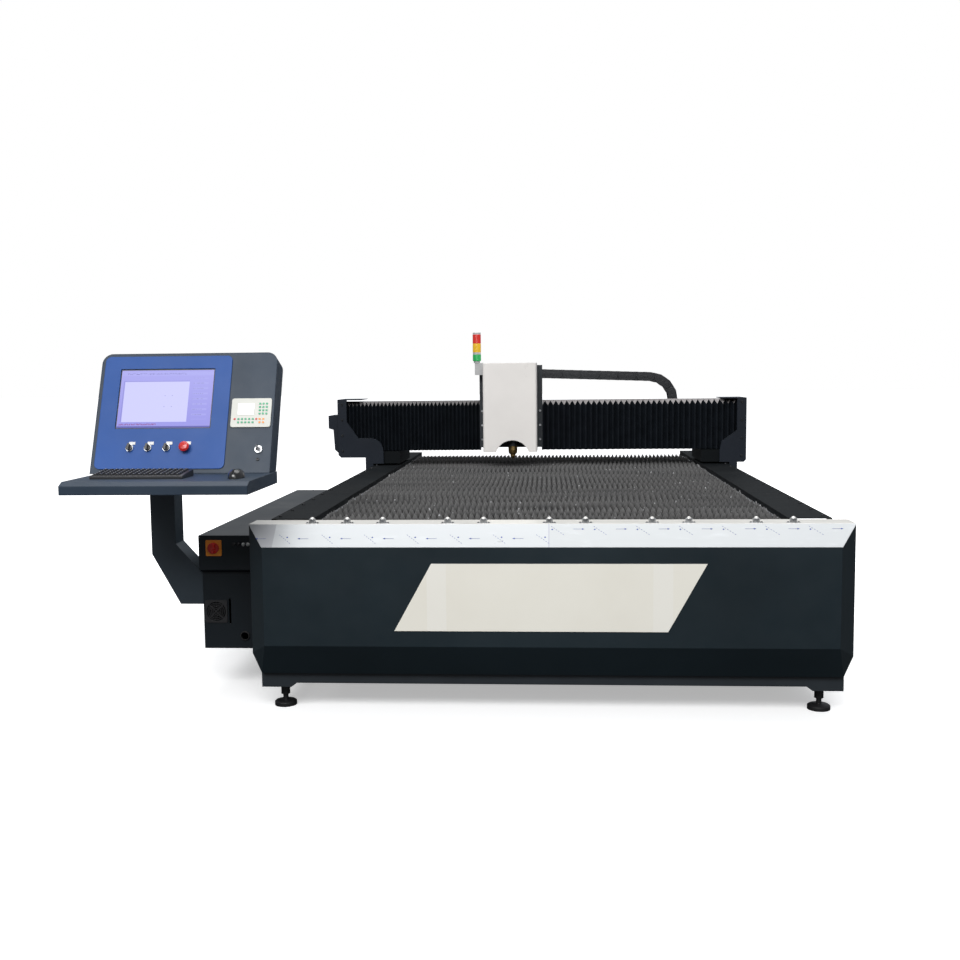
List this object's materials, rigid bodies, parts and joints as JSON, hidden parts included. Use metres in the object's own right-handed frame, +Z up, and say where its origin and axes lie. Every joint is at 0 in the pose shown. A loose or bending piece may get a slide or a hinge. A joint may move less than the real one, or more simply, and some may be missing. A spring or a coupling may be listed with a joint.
{
  "type": "fiber laser cutting machine",
  "caption": "Flat-bed laser cutting machine with saw-tooth slats, a travelling gantry with bellows and drag chain, a lifting cutting head, a side cabinet and a tilted operator console.",
  "frame": {"origin": "on the floor under the middle of the overall box", "axes": "+X to the operator's right across the bed, +Y from the front cover to the rear, +Z up"},
  "size_m": [2.83, 4.07, 1.488],
  "materials": {
    "frame_paint": "satin",
    "cover_paint": "satin",
    "black_paint": "fine texture",
    "bright_strip": "film covered",
    "cream_plate": "satin",
    "steel": "ground",
    "slat_steel": "raw, browned",
    "bellows_cloth": "coated",
    "chain_plastic": "moulded",
    "black_plastic": "moulded",
    "yellow_plastic": "moulded",
    "red_plastic": "moulded",
    "blue_bezel": "satin",
    "screen_glass": "glossy",
    "keypad_film": "film",
    "hood_paint": "semi gloss",
    "lamp_lens": "clear",
    "black_metal": "black anodised",
    "light_paint": "satin",
    "nozzle_brass": "turned"
  },
  "bodies": {
    "bed": {"rail_beam_left": "frame_paint", "rail_beam_right": "frame_paint", "side_sills": "frame_paint", "frame_posts": "frame_paint", "cross_members": "frame_paint", "front_apron": "cover_paint", "front_strip": "bright_strip", "name_plate": "cream_plate", "transfer_balls": "steel", "slats": "slat_steel", "slat_combs": "frame_paint", "y_rails": "steel", "rail_covers": "black_paint", "rear_cover": "cover_paint", "left_panel": "cover_paint", "levelling_feet": "steel", "cabinet_front": "cover_paint", "cabinet_frame": "cover_paint", "fan_grille": "black_plastic", "switch_plate": "yellow_plastic", "laser_source": "light_paint", "console_arm": "black_paint", "console_tray": "black_paint", "console_housing": "black_paint", "panel_bezel": "blue_bezel", "monitor": "screen_glass", "height_keypad": "keypad_film", "keyboard": "black_plastic", "mouse": "black_plastic", "switch_bezels": "steel"},
    "main_switch": {"main_switch_knob": "red_plastic"},
    "selector_a": {"selector_left": "black_plastic"},
    "selector_b": {"selector_middle": "black_plastic"},
    "selector_c": {"selector_right": "black_plastic"},
    "estop": {"estop_button": "red_plastic"},
    "key": {"panel_key": "steel"},
    "door_a": {"door_front": "cover_paint"},
    "door_b": {"door_rear": "cover_paint"},
    "drawer_a": {"slag_drawer_front": "frame_paint"},
    "drawer_b": {"slag_drawer_rear": "frame_paint"},
    "gantry": {"gantry_beam": "frame_paint", "end_plate_left": "black_paint", "end_plate_right": "black_paint", "y_saddles": "frame_paint", "y_motors": "black_metal", "x_rails": "steel", "bellows_left": "bellows_cloth", "bellows_right": "bellows_cloth", "chain_lower": "chain_plastic"},
    "chain_loop": {"chain_bend": "chain_plastic"},
    "carriage": {"carriage_plate": "frame_paint", "head_cover": "hood_paint", "head_drives": "black_metal", "lamp_post": "black_plastic", "lamp_lenses": "lamp_lens", "chain_upper": "chain_plastic"},
    "head": {"z_slide": "steel", "cutting_head": "black_metal", "nozzle": "nozzle_brass"}
  },
  "joints": [
    {"name": "gantry_slide", "type": "slide", "parent": "bed", "child": "gantry", "axis": [0, 1, 0], "range_m": [-2.35, 0.58]},
    {"name": "carriage_slide", "type": "slide", "parent": "gantry", "child": "carriage", "axis": [1, 0, 0], "range_m": [-0.53, 0.97], "deforming": ["bellows_left", "bellows_right", "chain_upper", "chain_lower"]},
    {"name": "chain_loop_slide", "type": "slide", "parent": "gantry", "child": "chain_loop", "axis": [1, 0, 0], "range_m": [-0.27, 0.49]},
    {"name": "head_lift", "type": "slide", "parent": "carriage", "child": "head", "axis": [0, 0, 1], "range_m": [-0.045, 0.065]},
    {"name": "main_switch_turn", "type": "hinge", "parent": "bed", "child": "main_switch", "pos_m": [-1.034, -1.469, 0.585], "axis": [0, 1, 0], "range_deg": [0, 90]},
    {"name": "selector_a_turn", "type": "hinge", "parent": "bed", "child": "selector_a", "pos_m": [-1.272, -1.67469, 0.99034], "axis": [0, -0.9272, 0.3746], "range_deg": [-45, 45]},
    {"name": "selector_b_turn", "type": "hinge", "parent": "bed", "child": "selector_b", "pos_m": [-1.203, -1.67469, 0.99034], "axis": [0, -0.9272, 0.3746], "range_deg": [-45, 45]},
    {"name": "selector_c_turn", "type": "hinge", "parent": "bed", "child": "selector_c", "pos_m": [-1.133, -1.67469, 0.99034], "axis": [0, -0.9272, 0.3746], "range_deg": [-45, 45]},
    {"name": "estop_press", "type": "slide", "parent": "bed", "child": "estop", "axis": [0, 0.9272, -0.3746], "range_m": [0, 0.005], "stiffness_N_per_m": 900},
    {"name": "key_turn", "type": "hinge", "parent": "bed", "child": "key", "pos_m": [-0.788, -1.67732, 0.98385], "axis": [0, -0.9272, 0.3746], "range_deg": [-90, 0]},
    {"name": "door_a_swing", "type": "hinge", "parent": "bed", "child": "door_a", "pos_m": [-1.106, -1.195, 0.4], "axis": [0, 0, 1], "range_deg": [0, 100]},
    {"name": "door_b_swing", "type": "hinge", "parent": "bed", "child": "door_b", "pos_m": [-1.106, 0.205, 0.4], "axis": [0, 0, -1], "range_deg": [0, 110]},
    {"name": "drawer_a_pull", "type": "slide", "parent": "bed", "child": "drawer_a", "axis": [1, 0, 0], "range_m": [0, 1.2]},
    {"name": "drawer_b_pull", "type": "slide", "parent": "bed", "child": "drawer_b", "axis": [1, 0, 0], "range_m": [0, 1.2]}
  ],
  "couplings": [
    {"joint": "chain_loop_slide", "follows": "carriage_slide", "ratio": 0.5}
  ]
}
